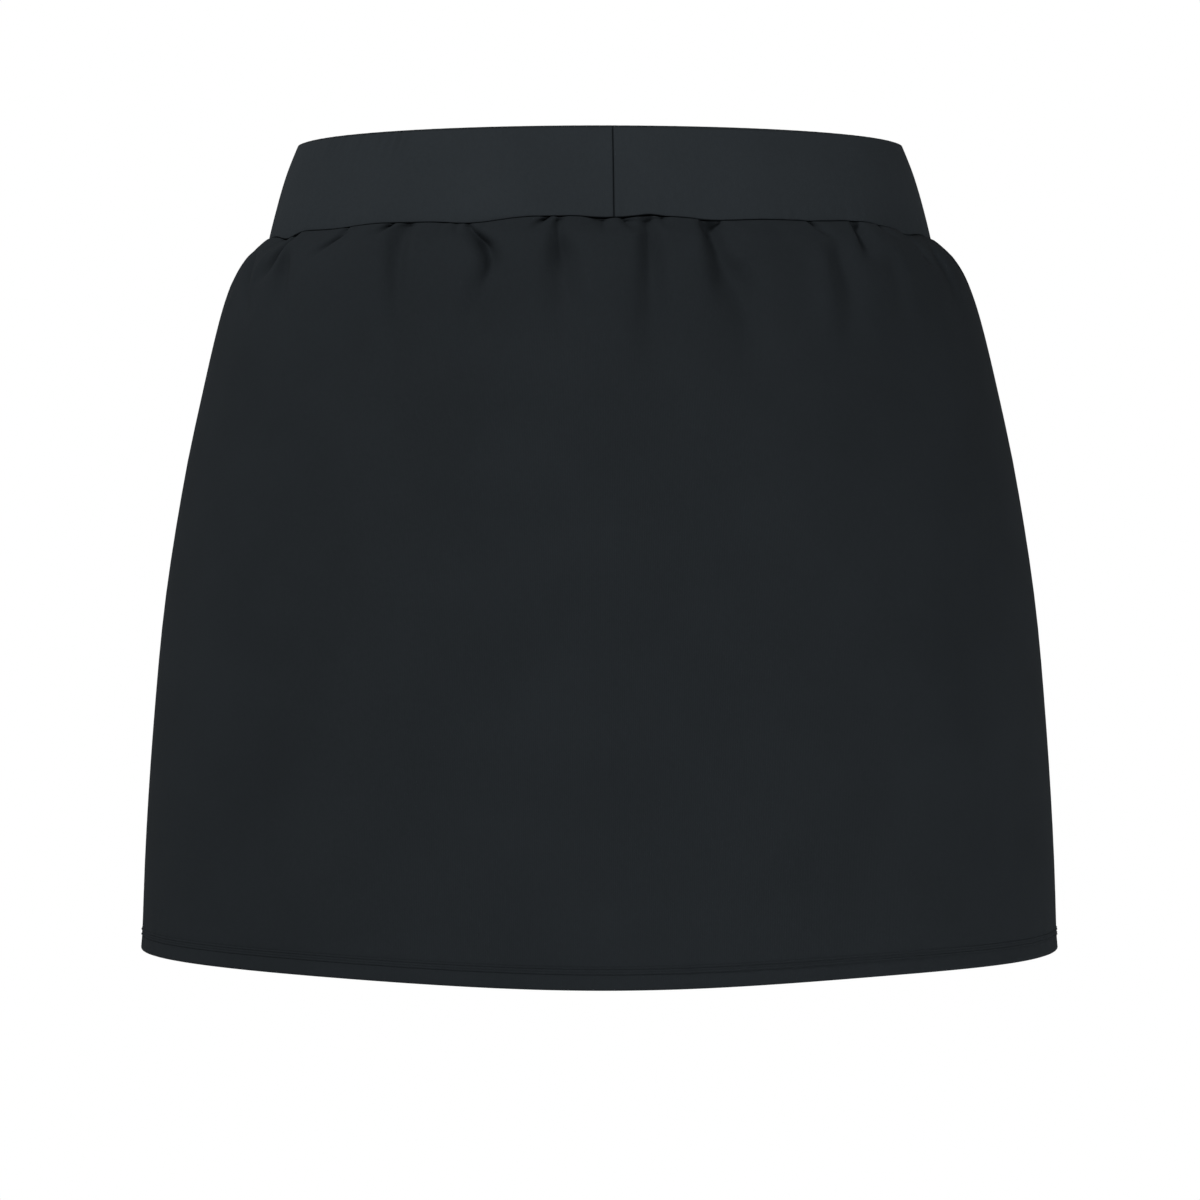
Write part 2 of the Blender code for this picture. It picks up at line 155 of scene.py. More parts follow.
# Gathers. Turn and lean are in degrees and the rest in millimetres, but for ease, spread and crisp. A fold
# runs down from its start for its reach, and leans early where ease is over 1. It widens by its spread. Crisp
# makes one wall steep: the one to the wearer's right where it is below 0. A lip stands beside that wall.
BACK_FOLDS = (
    Fold(turn=175.2, lean=0.6, reach=20, depth=7.0, width=2.8, spread=0.4, crisp=0.1, lip=0.5),
    Fold(turn=170.6, lean=-1.0, start=1, reach=30, depth=4.8, width=3.2, spread=0.5),
    Fold(turn=167.0, lean=-14.0, start=3, reach=38, depth=5.0, width=3.0, spread=0.4),
    Fold(turn=160.0, lean=0.0, reach=6, depth=4.0, width=8.0, spread=0.1),
    Fold(turn=158.2, lean=-2.0, start=1, reach=30, depth=-1.9, width=1.8, spread=0.3),
    Fold(turn=153.2, lean=0.6, reach=23, depth=14.0, width=3.4, spread=0.2, lip=1.0),
    Fold(turn=150.6, lean=-0.4, start=2, reach=24, depth=-1.5, width=1.6, spread=0.3),
    Fold(turn=150.0, lean=-6.5, start=4, reach=42, depth=6.0, width=4.0, spread=0.5),
    Fold(turn=140.6, lean=-0.5, start=14, reach=26, depth=-0.7, width=2.6, spread=0.4),
    Fold(turn=136.8, lean=0.4, reach=7, depth=4.6, width=1.9, spread=0.2, crisp=-0.2, lip=0.4),
    Fold(
        turn=134.4, lean=6.4, ease=1.2, start=1, reach=14,
        depth=5.6, width=2.2, spread=0.5, crisp=-0.2, lip=0.7,
    ),
    Fold(turn=126.6, lean=2.2, reach=7.5, depth=5.8, width=2.1, spread=0.3, crisp=-0.3, lip=0.8),
    Fold(turn=123.6, lean=-5.6, reach=84, depth=6.4, width=5.0, spread=1.1),
    Fold(turn=120.8, lean=0.0, reach=3.4, depth=0.9, width=2.0, spread=0.2),
    Fold(turn=116.8, lean=0.0, reach=3.4, depth=1.6, width=4.2, spread=0.2),
    Fold(turn=114.4, lean=-1.6, reach=7, depth=3.4, width=1.9, spread=0.2),
    Fold(turn=112.2, lean=-3.4, reach=11, depth=5.2, width=2.3, spread=0.6, crisp=-0.2, lip=0.4),
    Fold(turn=111.4, lean=-5.4, ease=2.2, start=1, reach=28, depth=13.6, width=3.6, spread=0.4, lip=1.4),
    Fold(turn=106.1, lean=3.4, ease=1.6, start=11, reach=64, depth=4.6, width=4.5, spread=1.3),
    Fold(turn=105.2, lean=-0.3, start=44, reach=28, depth=1.2, width=6.0, spread=0.2),
    Fold(turn=100.8, lean=0.0, start=5, reach=58, depth=-1.0, width=5.0, spread=0.5),
    Fold(turn=98.4, lean=2.2, reach=7, depth=5.6, width=2.1, spread=0.3, crisp=-0.3, lip=0.8),
    Fold(turn=96.7, lean=-0.4, reach=32, depth=5.2, width=3.0, spread=0.8),
    Fold(turn=95.8, lean=-1.8, start=3, reach=78, depth=6.8, width=4.8, spread=1.6),
    Fold(turn=90.6, lean=0.0, reach=4.2, depth=4.4, width=2.9, spread=0.2),
    Fold(turn=89.2, lean=0.3, reach=7, depth=3.8, width=1.9, spread=0.2),
    Fold(turn=87.6, lean=0.0, start=5, reach=58, depth=-1.0, width=6.0, spread=0.5),
    Fold(turn=86.4, lean=-2.4, reach=8, depth=5.8, width=2.6, spread=0.3, crisp=0.3, lip=0.6),
    Fold(turn=82.3, lean=0.2, reach=84, depth=7.6, width=3.7, spread=2.0),
    Fold(turn=79.8, lean=0.0, reach=6, depth=5.0, width=2.1, spread=0.3),
    Fold(turn=75.6, lean=0.0, start=5, reach=58, depth=-1.0, width=5.0, spread=0.5),
    Fold(turn=72.6, lean=0.0, reach=10, depth=4.4, width=2.5, spread=0.4),
    Fold(turn=72.2, lean=-0.6, reach=42, depth=10.6, width=4.4, spread=0.8, crisp=0.1, lip=1.2),
    Fold(turn=70.0, lean=-3.0, ease=1.5, start=12, reach=68, depth=5.8, width=5.8, spread=1.2),
    Fold(turn=70.0, lean=0.0, reach=5, depth=2.4, width=1.6, spread=0.2),
    Fold(turn=68.6, lean=0.0, start=1, reach=16, depth=2.4, width=2.8, spread=0.3),
    Fold(turn=60.5, lean=0.0, start=1, reach=14, depth=1.4, width=4.0, spread=0.3),
    Fold(turn=54.8, lean=1.0, start=5, reach=58, depth=-3.0, width=4.8, spread=0.6),
    Fold(turn=53.1, lean=-2.2, reach=8.5, depth=6.8, width=2.1, spread=0.3, crisp=0.2, lip=0.7),
    Fold(turn=49.8, lean=2.6, start=2, reach=64, depth=3.6, width=4.8, spread=1.0),
    Fold(turn=42.4, lean=2.0, ease=1.4, reach=21, depth=8.8, width=3.2, spread=0.9, lip=0.7),
    Fold(turn=39.4, lean=1.0, start=8, reach=50, depth=2.0, width=4.6, spread=0.7),
    Fold(turn=36.0, lean=-1.4, reach=7, depth=7.0, width=2.1, spread=0.2, crisp=0.2, lip=0.6),
    Fold(turn=27.8, lean=-1.0, reach=18, depth=6.4, width=2.6, spread=0.4, crisp=0.2, lip=0.6),
    Fold(turn=20.6, lean=1.0, start=1, reach=32, depth=3.6, width=3.4, spread=0.5),
    Fold(turn=12.4, lean=-0.8, reach=18, depth=7.2, width=2.6, spread=0.4, crisp=-0.1, lip=0.5),
    Fold(turn=6.4, lean=0.8, start=1, reach=28, depth=5.0, width=3.1, spread=0.5),
)
FRONT_FOLDS = (
    Fold(turn=184.6, lean=-0.6, reach=17, depth=7.0, width=2.6, spread=0.4, crisp=-0.1, lip=0.5),
    Fold(turn=188.4, lean=1.0, start=1, reach=30, depth=4.8, width=3.2, spread=0.5),
    Fold(turn=193.0, lean=8.0, start=2, reach=36, depth=3.6, width=3.2, spread=0.4),
    Fold(turn=204.0, lean=-1.0, reach=28, depth=9.4, width=3.0, spread=0.4, crisp=-0.2, lip=1.1),
    Fold(turn=211.5, lean=2.0, start=3, reach=54, depth=4.4, width=4.6, spread=0.9),
    Fold(turn=221.5, lean=-1.6, reach=10, depth=7.0, width=1.9, spread=0.3, crisp=0.3, lip=0.7),
    Fold(turn=228.6, lean=2.0, start=1, reach=60, depth=5.4, width=4.2, spread=1.0),
    Fold(turn=233.8, lean=0.0, reach=6, depth=4.2, width=1.9, spread=0.2),
    Fold(turn=237.2, lean=6.6, ease=2.8, reach=30, depth=10.6, width=2.9, spread=0.6, crisp=0.3, lip=1.3),
    Fold(turn=242.6, lean=-1.6, ease=1.6, start=8, reach=68, depth=6.6, width=4.4, spread=1.2),
    Fold(turn=249.4, lean=-1.8, reach=10, depth=7.0, width=1.9, spread=0.3, crisp=0.3, lip=0.6),
    Fold(turn=256.8, lean=1.4, reach=72, depth=6.6, width=4.0, spread=1.4),
    Fold(turn=262.6, lean=0.0, reach=6, depth=4.0, width=2.4, spread=0.2),
    Fold(turn=268.6, lean=-0.8, reach=80, depth=7.4, width=3.4, spread=1.8),
    Fold(turn=272.8, lean=1.6, reach=9, depth=6.4, width=1.9, spread=0.3, crisp=-0.3, lip=0.6),
    Fold(turn=281.8, lean=0.6, reach=40, depth=9.2, width=3.2, spread=0.8, crisp=-0.1, lip=1.1),
    Fold(turn=284.4, lean=2.8, ease=1.5, start=10, reach=64, depth=5.2, width=4.8, spread=1.1),
    Fold(turn=290.6, lean=0.0, reach=6, depth=4.2, width=1.8, spread=0.2),
    Fold(turn=296.4, lean=-2.2, reach=10, depth=7.0, width=2.0, spread=0.3, crisp=0.3, lip=0.6),
    Fold(turn=300.8, lean=1.4, start=2, reach=62, depth=5.2, width=4.6, spread=1.0),
    Fold(turn=312.4, lean=3.0, ease=2.0, reach=28, depth=9.2, width=2.8, spread=0.6, crisp=0.3, lip=1.0),
    Fold(turn=318.8, lean=0.6, start=4, reach=50, depth=3.4, width=4.8, spread=0.8),
    Fold(turn=331.4, lean=-1.6, reach=24, depth=7.6, width=2.7, spread=0.5, crisp=-0.3, lip=0.9),
    Fold(turn=343.0, lean=1.0, start=1, reach=34, depth=3.4, width=3.4, spread=0.5),
    Fold(turn=349.6, lean=-0.8, reach=19, depth=7.2, width=2.6, spread=0.4, crisp=0.1, lip=0.5),
    Fold(turn=355.2, lean=0.6, start=1, reach=26, depth=5.0, width=3.0, spread=0.5),
)
# Where the gathers pull the waist seam down, or up where the depth is below 0: degrees, degrees, millimetres
SEAM_SAGS = (
    Sag(turn=158.0, half_span=5.0, depth=2.5),
    Sag(turn=141.0, half_span=9.0, depth=1.4),
    Sag(turn=122.0, half_span=7.0, depth=0.9),
    Sag(turn=111.3, half_span=6.5, depth=2.3),
    Sag(turn=89.0, half_span=4.0, depth=0.8),
    Sag(turn=81.8, half_span=2.0, depth=-0.8),
    Sag(turn=70.0, half_span=6.5, depth=1.3),
    Sag(turn=41.0, half_span=8.0, depth=-1.7),
    Sag(turn=25.0, half_span=4.0, depth=1.4),
    Sag(turn=204.0, half_span=5.0, depth=1.4),
    Sag(turn=221.0, half_span=8.0, depth=0.9),
    Sag(turn=237.0, half_span=6.0, depth=1.9),
    Sag(turn=257.0, half_span=5.0, depth=-0.7),
    Sag(turn=270.0, half_span=5.0, depth=0.8),
    Sag(turn=283.0, half_span=6.0, depth=1.4),
    Sag(turn=302.0, half_span=8.0, depth=-1.3),
    Sag(turn=314.0, half_span=5.0, depth=1.2),
    Sag(turn=333.0, half_span=7.0, depth=1.3),
)
# Where the cloth hangs open a little under the waist seam, so that the seam shows as a dark line
SEAM_SHOWS = (
    Sag(turn=87.0, half_span=12.0, depth=0.55),
    Sag(turn=158.0, half_span=5.0, depth=0.30),
    Sag(turn=116.0, half_span=3.0, depth=0.15),
    Sag(turn=266.0, half_span=12.0, depth=0.50),
    Sag(turn=310.0, half_span=8.0, depth=0.35),
)
# Where the elastic ripples the top of the waistband: degrees, degrees and millimetres
BAND_RIPPLES = (
    Ripple(turn=138.0, half_span=20.0, height=0.46),
    Ripple(turn=112.0, half_span=8.0, height=0.16),
    Ripple(turn=44.0, half_span=24.0, height=0.42),
    Ripple(turn=72.0, half_span=9.0, height=0.14),
    Ripple(turn=228.0, half_span=20.0, height=0.32),
    Ripple(turn=262.0, half_span=10.0, height=0.15),
    Ripple(turn=305.0, half_span=18.0, height=0.30),
)


# ---- shapes ----


def smooth_step(share):
    """0 below 0, 1 above 1, and an even S between them."""
    share = np.clip(share, 0.0, 1.0)
    return share * share * (3.0 - 2.0 * share)


def column_at(table, column, drop):
    """One column of a table of sections at many drops, on cubic pieces that pass through the rows."""
    drops = np.array([row.drop for row in table])
    values = np.array([getattr(row, column) for row in table])
    order = np.arange(len(table))
    after = np.minimum(order + 1, len(table) - 1)
    before = np.maximum(order - 1, 0)
    slope = (values[after] - values[before]) / (drops[after] - drops[before])
    low = np.clip(np.searchsorted(drops, drop) - 1, 0, len(table) - 2)
    span = drops[low + 1] - drops[low]
    share = np.clip((drop - drops[low]) / span, 0.0, 1.0)
    square, cube = share**2, share**3
    return (
        (2 * cube - 3 * square + 1) * values[low]
        + (cube - 2 * square + share) * slope[low] * span
        + (3 * square - 2 * cube) * values[low + 1]
        + (cube - square) * slope[low + 1] * span
    )


def half_and_half(turn, back, front):
    """The back's value where the turn is behind the side seams, and else the front's."""
    return np.where(np.sin(turn) >= 0, back, front)


def oval(table, turn, drop):
    """x and y of a section's oval at a turn, two half ellipses that meet at the side seams, and its
    radius there."""
    side = column_at(table, "side", drop)
    depth = half_and_half(turn, column_at(table, "back", drop), column_at(table, "front", drop))
    return side * np.cos(turn), -depth * np.sin(turn), np.hypot(side * np.sin(turn), depth * np.cos(turn))


def even_seam_height(turn):
    """The waist seam's even height: it rises with the square of the turn's sine, and dips sharply at
    the side seams."""
    rise = half_and_half(turn, WAIST_SEAM_RISE["back"], WAIST_SEAM_RISE["front"])
    return WAIST_SEAM + rise * np.sin(turn) ** 2 - SIDE_DIP * np.cos(turn) ** 12


def sagging(sags, turn):
    """The sum of a table of sags, each a bell round its turn."""
    total = np.zeros_like(turn)
    for sag in sags:
        away = (turn % (2 * math.pi) - math.radians(sag.turn)) / math.radians(sag.half_span)
        total = total + sag.depth * MM * np.exp(-(away**2))
    return total


def seam_height(turn):
    """The waist seam's height: the even height less the sags where the gathers pull it."""
    return even_seam_height(turn) - sagging(SEAM_SAGS, turn)


def hem_height(turn):
    """The hem's height: its side height, less a sink with the turn's sine and a dip with its eighth
    power."""
    middle = np.abs(np.sin(turn))
    sink = half_and_half(turn, SKIRT_HEM_SINK["back"], SKIRT_HEM_SINK["front"])
    dip = half_and_half(turn, SKIRT_HEM_DIP["back"], SKIRT_HEM_DIP["front"])
    return SKIRT_HEM - sink * middle - dip * middle**8


def waves(turn, seed, count, slowest, fastest):
    """A sum of sines round the body with seeded speeds and phases, about 1 high."""
    draw = np.random.default_rng(seed)
    speeds = draw.uniform(slowest, fastest, count)
    phases = draw.uniform(0, 2 * math.pi, count)
    total = sum(np.sin(speed * turn + phase) for speed, phase in zip(speeds, phases))
    return total / math.sqrt(count)


def fold_relief(folds, turn, drop, radius, room):
    """How far a list of folds moves the cloth out, negative in a trough. Each trough is a bell across
    its middle line, narrower on its crisp side, and its lip is a narrower bell just beyond that wall.
    Both rise out of the seam, or more slowly where they start below it, and fade at the end. Near the
    seam there is little room behind the cloth, so every trough is shallower in proportion, and their
    sum never passes that room."""
    trough = np.zeros(np.broadcast(turn, drop).shape)
    lips = np.zeros_like(trough)
    for fold in folds:
        down = drop - fold.start * MM
        share = np.clip(down / (fold.reach * MM), 0.0, 1.0)
        middle = np.radians(fold.turn + fold.lean * (1.0 - (1.0 - share) ** fold.ease))
        across = (turn - middle) * radius / (fold.width * MM * (1.0 + fold.spread * share))
        narrowed = across * (1.0 + fold.crisp * np.tanh(2.0 * across))
        if fold.start == 0:
            rise = smooth_step(down / (min(4.0, 0.4 * fold.reach) * MM) + 0.45)
        else:
            rise = smooth_step(down / (min(16.0, 0.4 * fold.reach) * MM))
        fade = rise * (1.0 - smooth_step(share)) ** 0.8
        bell = fold.depth * MM * fade * np.exp(-(narrowed**2))
        if fold.depth < 0:
            lips -= bell
        else:
            trough += bell
        if fold.lip:
            beside = across - math.copysign(1.15, fold.crisp)
            lips += fold.lip * MM * fade**1.5 * np.exp(-((beside / 0.6) ** 2))
    trough *= room / (room**4 + FULL_ROOM**4) ** 0.25
    return lips - trough / (1.0 + (trough / room) ** 6) ** (1 / 6)


def room_behind(column, drop):
    """How far in the cloth may go before it touches the shorts, by a column of the sections."""
    behind = column_at(SKIRT_SECTIONS, column, drop) - column_at(SHORTS_SECTIONS, column, drop)
    return np.maximum(behind - SKIRT_CLOTH, 0.3 * MM)


def skirt_face(turn, drop):
    """Points of the skirt's inner face, which build_skirt moves out by the cloth: the section's oval
    moved out by the folds, a fine pucker under the waist seam, slow waves that die out down the cloth,
    the dents of the needle rows, and a slight pucker and flare at the hem."""
    x, y, radius = oval(SKIRT_SECTIONS, turn, drop)
    room = half_and_half(turn, room_behind("back", drop), room_behind("front", drop))
    out = fold_relief(BACK_FOLDS + FRONT_FOLDS, turn, drop, radius, room)
    under_seam = np.exp(-drop / (5.0 * MM)) * smooth_step(drop / (1.5 * MM))
    out += 0.22 * MM * waves(turn, 3, 9, 90, 260) * under_seam
    upper = smooth_step(drop / (12.0 * MM)) * np.exp(-drop / (45.0 * MM))
    out += 0.5 * MM * waves(turn, 5, 6, 16, 44) * upper
    out += 0.35 * MM * waves(turn + 1.3 * drop, 7, 4, 3, 9) * smooth_step(drop / (80.0 * MM))
    up = SKIRT_LENGTH - drop
    for row in NEEDLE_ROWS:
        out -= 0.26 * MM * np.exp(-(((up - row) / (0.42 * MM)) ** 2))
    between = (NEEDLE_ROWS[0] + NEEDLE_ROWS[1]) / 2
    out += 0.10 * MM * np.exp(-(((up - between) / (0.5 * MM)) ** 2))
    out += HEM_FLARE * np.clip(1.0 - up / NEEDLE_ROWS[0], 0.0, 1.1)
    out += 0.16 * MM * waves(turn, 11, 7, 40, 150) * np.exp(-(((up - 8.0 * MM) / (6.0 * MM)) ** 2))
    top = seam_height(turn) - 0.10 * MM - sagging(SEAM_SHOWS, turn)
    hem = hem_height(turn)
    z = top + drop / SKIRT_LENGTH * (hem - top)
    side = column_at(SKIRT_SECTIONS, "side", drop)
    back, front = column_at(SKIRT_SECTIONS, "back", drop), column_at(SKIRT_SECTIONS, "front", drop)
    depth = half_and_half(turn, back, front)
    away_x, away_y = np.cos(turn) / side, -np.sin(turn) / depth
    length = np.hypot(away_x, away_y)
    return np.stack([x + out * away_x / length, y + out * away_y / length, z + 0 * x], axis=-1)


def normals_of(face, turn, drop):
    """Outward unit normals of a face: the cross product of its steps down and round."""
    step_turn, step_drop = 0.002, 0.2 * MM
    turn, drop = np.broadcast_arrays(turn, drop)
    along = face(turn + step_turn, drop) - face(turn - step_turn, drop)
    down = face(turn, drop + step_drop) - face(turn, drop - step_drop)
    normal = np.cross(along, down)
    return normal / np.linalg.norm(normal, axis=-1, keepdims=True)


def add_grid(name, points, cloth_uv, material, closed_columns=False, closed_rows=False):
    """A mesh of quads on a grid of points, with the cloth's own lengths as its UV map. Rows run down
    and columns run clockwise as seen from above, so the faces point outwards."""
    rows, columns = points.shape[:2]
    row = np.arange(rows if closed_rows else rows - 1)[:, None]
    column = np.arange(columns if closed_columns else columns - 1)[None, :]
    row, column = np.broadcast_arrays(row, column)
    corners = [(row, column), (row, column + 1), (row + 1, column + 1), (row + 1, column)]
    faces = np.stack([(r % rows) * columns + c % columns for r, c in corners], axis=-1).reshape(-1, 4)
    mesh = bpy.data.meshes.new(name)
    mesh.from_pydata(points.reshape(-1, 3).tolist(), [], faces.tolist())
    uv = np.stack([cloth_uv[r, c] for r, c in corners], axis=2).reshape(-1, 2)
    layer = mesh.uv_layers.new(name="cloth")
    layer.data.foreach_set("uv", uv.ravel().astype(np.float32))
    mesh.materials.append(material)
    mesh.shade_smooth()
    piece = bpy.data.objects.new(name, mesh)
    bpy.context.scene.collection.objects.link(piece)
    return piece


def give_thickness(piece, thickness):
    """The mesh is the cloth's outer face, and its thickness goes inwards."""
    solid = piece.modifiers.new("cloth", "SOLIDIFY")
    solid.thickness = thickness
    solid.offset = -1.0


def round_fold(edge, radius, steps, inward):
    """A half circle of cloth round an edge, as distances along and out: from the outer face round to
    the inner one."""
    bend = np.linspace(0, math.pi, steps)
    return edge + inward * radius * (1.0 - np.sin(bend)), -radius * (1.0 - np.cos(bend))


def skirt_rows():
    """Down the cloth, as drops and distances out: rolled out of the waist seam, down to the hem, round
    its fold and up."""
    roll = np.radians([90, 60, 30])
    drops = [SEAM_ROLL * (1 - np.sin(roll))]
    outs = [-SEAM_ROLL * (1 - np.cos(roll))]
    plain = [SEAM_ROLL + np.arange(18) * 0.7 * MM, np.arange(13.3, 30, 1.2) * MM, np.arange(31, 80, 2.5) * MM]
    plain.append(np.arange(84, 300, 15.0) * MM)
    up = [14, 12.5, 11.2, 10.4, 9.9, 9.6, 9.35, 9.1, 8.85, 8.6, 8.3, 8.05, 7.8, 7.5, 7.25]
    up += [7.0, 6.75, 6.5, 6.1, 5.4, 4.4, 3.2, 2.0]
    plain.append(SKIRT_LENGTH - np.array(up) * MM)
    for stretch in plain:
        drops.append(stretch)
        outs.append(np.zeros(len(stretch)))
    fold_drop, fold_out = round_fold(SKIRT_LENGTH, HEM_FOLD, 7, -1)
    inside = SKIRT_LENGTH - HEM_FOLD - np.array([0.8, 2.0, 4.0, 5.4, 6.6, 8.0, HEM_TURN_UP / MM - 0.95]) * MM
    drops += [fold_drop, inside]
    outs += [fold_out, np.full(len(inside), -2 * HEM_FOLD)]
    return np.concatenate(drops), np.concatenate(outs)


def panel_columns(first, last, count, radius):
    """Round the cloth, as turns and distances out: each side edge is folded in and lies flat inside as
    a seam allowance. Columns lie closer together at narrow folds."""
    fold, fold_out = round_fold(0.0, SIDE_FOLD, 5, 1)
    flap = np.linspace(SIDE_ALLOWANCE, SIDE_FOLD, 5)[:-1]
    start = np.concatenate([flap, fold[::-1]])
    start_out = np.concatenate([np.full(4, -2 * SIDE_FOLD), fold_out[::-1]])
    gap = 0.2 * MM / radius
    first, last = first + gap, last - gap
    fine = np.linspace(first + 1.2 * SIDE_FOLD / radius, last - 1.2 * SIDE_FOLD / radius, 4000)
    density = np.ones_like(fine)
    for fold in BACK_FOLDS + FRONT_FOLDS:
        if fold.width < 3.6:
            middle = math.radians(fold.turn + fold.lean / 2)
            reach = 3.4 * MM / radius + abs(math.radians(fold.lean)) / 2
            density = np.maximum(density, 1.0 + 1.6 * np.exp(-(((fine - middle) / reach) ** 4)))
    along = np.concatenate([[0], np.cumsum((density[1:] + density[:-1]) / 2)])
    plain = np.interp(np.linspace(0, along[-1], count), along, fine)
    turns = np.concatenate([first + start / radius, plain, last - start[::-1] / radius])
    outs = np.concatenate([start_out, np.zeros(count), start_out[::-1]])
    return turns, outs


def seam_allowance(turn, column_out, lip_height):
    """Rows of the skirt's seam allowance, which stands up behind the band's inner face and comes out under
    the band's foot to the skirt's lip. Behind a deep gather it keeps further in than the lip."""
    top = SKIRT_SECTIONS[0]
    depth = half_and_half(turn, top.back, top.front)
    away = unit(np.stack([np.cos(turn) / top.side, -np.sin(turn) / depth], axis=-1))
    line = np.stack(oval(SKIRT_SECTIONS, turn, 0.0)[:2], axis=-1)
    relief = np.sum((skirt_face(turn, np.zeros_like(turn))[:, :2] - line) * away, axis=-1)
    behind = np.minimum(-(BAND_WALL + ALLOWANCE_GAP), relief - ALLOWANCE_TUCK) + column_out
    rows = []
    # Heights above the lip and distances out, in millimetres, from the allowance's free edge down
    for height, ahead in ((5.0, 0.0), (2.5, 0.0), (0.5, 0.0), (0.0, 0.45)):
        x, y, _ = oval(BAND_SECTIONS, turn, BAND_HEIGHT - height * MM)
        out = behind + ahead * MM
        rows.append(np.stack([x + out * away[:, 0], y + out * away[:, 1], lip_height + height * MM], axis=-1))
    return np.stack(rows)


def build_skirt(name, node, first, material):
    """A skirt panel, half way round: rows by columns on the skirt's face, moved out along its normals.
    What is turned in at the hem and the top is drawn in at both sides, behind the side folds. The lip
    stays just under the band."""
    drops, row_out = skirt_rows()
    turns, column_out = panel_columns(first, first + math.pi, 392, PANEL_RADIUS)
    turned_in = smooth_step(-row_out / HEM_FOLD - 0.5)
    narrower = 1.0 - turned_in * TURNED_IN_INSET / (PANEL_RADIUS * math.pi / 2)
    middle = first + math.pi / 2
    turn, drop = middle + (turns[None, :] - middle) * narrower[:, None], drops[:, None]
    points = skirt_face(turn, drop)
    out = SKIRT_CLOTH + row_out[:, None] + column_out[None, :]
    points = points + out[..., None] * normals_of(skirt_face, turn, drop)
    flap = np.clip(-column_out / SIDE_FOLD - 1.0, 0.0, 1.0)
    points[..., 2] = np.minimum(points[..., 2], seam_height(turn) - SEAM_GAP - SKIRT_CLOTH * flap)
    inset_turns = middle + (turns - middle) * narrower.min()
    points = np.concatenate([seam_allowance(inset_turns, column_out, points[0, :, 2]), points])
    length = np.cumsum(np.hypot(np.diff(drops), np.diff(row_out)))
    # The first four rows are the allowance's, as lengths along the cloth above the lip
    length = np.concatenate([np.array([-7.6, -5.1, -3.1, -2.5]) * MM, [0], length])
    width = np.concatenate([[0], np.cumsum(np.hypot(np.diff(turns) * PANEL_UV_RADIUS, np.diff(column_out)))])
    uv = np.stack(np.broadcast_arrays(width[None, :], -length[:, None]), axis=-1)
    piece = add_grid(name, points, uv, material)
    give_thickness(piece, SKIRT_CLOTH)
    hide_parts(node)
    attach(piece, "root")
    return piece


def band_relief(turn, share):
    """How far the waistband's outer face stands out: a slight crown, ripples near the top where the
    elastic pulls, a finer pucker above the waist seam, and the dent and ridges of the centre back seam."""
    out = BAND_CROWN * np.sin(math.pi * share) ** 0.8
    for ripple in BAND_RIPPLES:
        away = (turn - math.radians(ripple.turn)) / math.radians(ripple.half_span)
        window = np.exp(-(away**4)) * (1.0 - smooth_step(share / 0.42))
        out = out + ripple.height * MM * window * waves(turn, 17, 6, 120, 230)
    out = out + 0.10 * MM * waves(turn, 19, 6, 70, 190) * smooth_step((share - 0.55) / 0.45)
    across = (turn - band_seam_turn()) * BAND_HALF_DEPTH
    out = out - 1.1 * MM * np.exp(-((across / (0.34 * MM)) ** 2))
    out = out + 0.30 * MM * np.exp(-(((across + 1.3 * MM) / (0.75 * MM)) ** 2))
    return out + 0.12 * MM * np.exp(-(((across - 1.5 * MM) / (0.9 * MM)) ** 2))


def band_seam_turn():
    """The turn at which the waistband's one seam runs."""
    return math.acos(BACK_SEAM_X / BAND_SECTIONS[-1].side)


